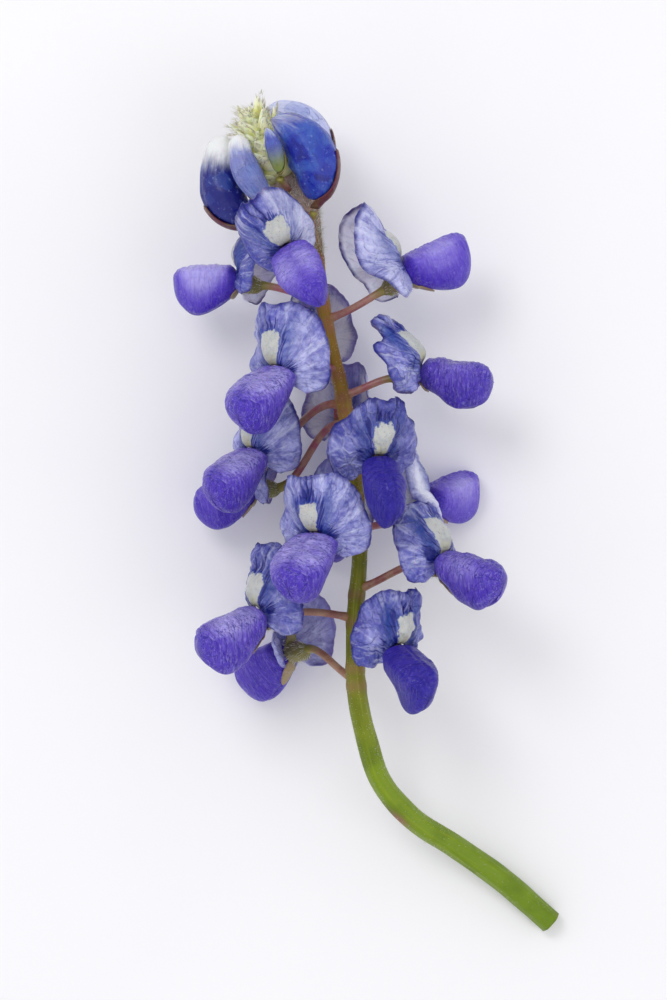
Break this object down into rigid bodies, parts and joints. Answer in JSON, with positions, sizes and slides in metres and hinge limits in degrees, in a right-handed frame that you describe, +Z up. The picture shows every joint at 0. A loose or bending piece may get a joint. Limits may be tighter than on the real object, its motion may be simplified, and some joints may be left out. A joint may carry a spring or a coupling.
{
  "type": "lupin flower spike",
  "caption": "Cut lupin flower spike lying on its side: a curved stem whose upper part carries folded pea-shaped blooms on thin stalks, with buds and a pale tuft of bracts at the tip",
  "frame": {"origin": "the middle of the footprint of the lying spike, on the flat surface that it lies on", "axes": "+Y runs along the spike towards its tip, +X towards the side that the cut end of the stem bends to, and +Z up from the surface"},
  "size_m": [0.0411, 0.0884, 0.0242],
  "materials": {
    "stem": "satin",
    "banner": "satin",
    "wings": "satin",
    "bud": "satin",
    "tuft": "matte"
  },
  "bodies": {
    "root": {"stem": "stem", "tuft": "tuft", "bud_1": "bud", "bud_2": "bud", "bud_3": "bud", "bud_4": "bud", "bud_5": "bud", "bloom_01_banner": "banner", "bloom_01_wings": "wings", "bloom_02_banner": "banner", "bloom_02_wings": "wings", "bloom_03_banner": "banner", "bloom_03_wings": "wings", "bloom_04_banner": "banner", "bloom_04_wings": "wings", "bloom_05_banner": "banner", "bloom_05_wings": "wings", "bloom_06_banner": "banner", "bloom_06_wings": "wings", "bloom_07_banner": "banner", "bloom_07_wings": "wings", "bloom_08_banner": "banner", "bloom_08_wings": "wings", "bloom_09_banner": "banner", "bloom_09_wings": "wings", "bloom_10_banner": "banner", "bloom_10_wings": "wings", "bloom_11_banner": "banner", "bloom_11_wings": "wings", "bloom_12_banner": "banner", "bloom_12_wings": "wings", "bloom_13_banner": "banner", "bloom_13_wings": "wings", "bloom_14_banner": "banner", "bloom_14_wings": "wings", "bloom_15_banner": "banner", "bloom_15_wings": "wings", "bloom_16_banner": "banner", "bloom_16_wings": "wings", "bloom_17_banner": "banner", "bloom_17_wings": "wings"}
  },
  "joints": []
}
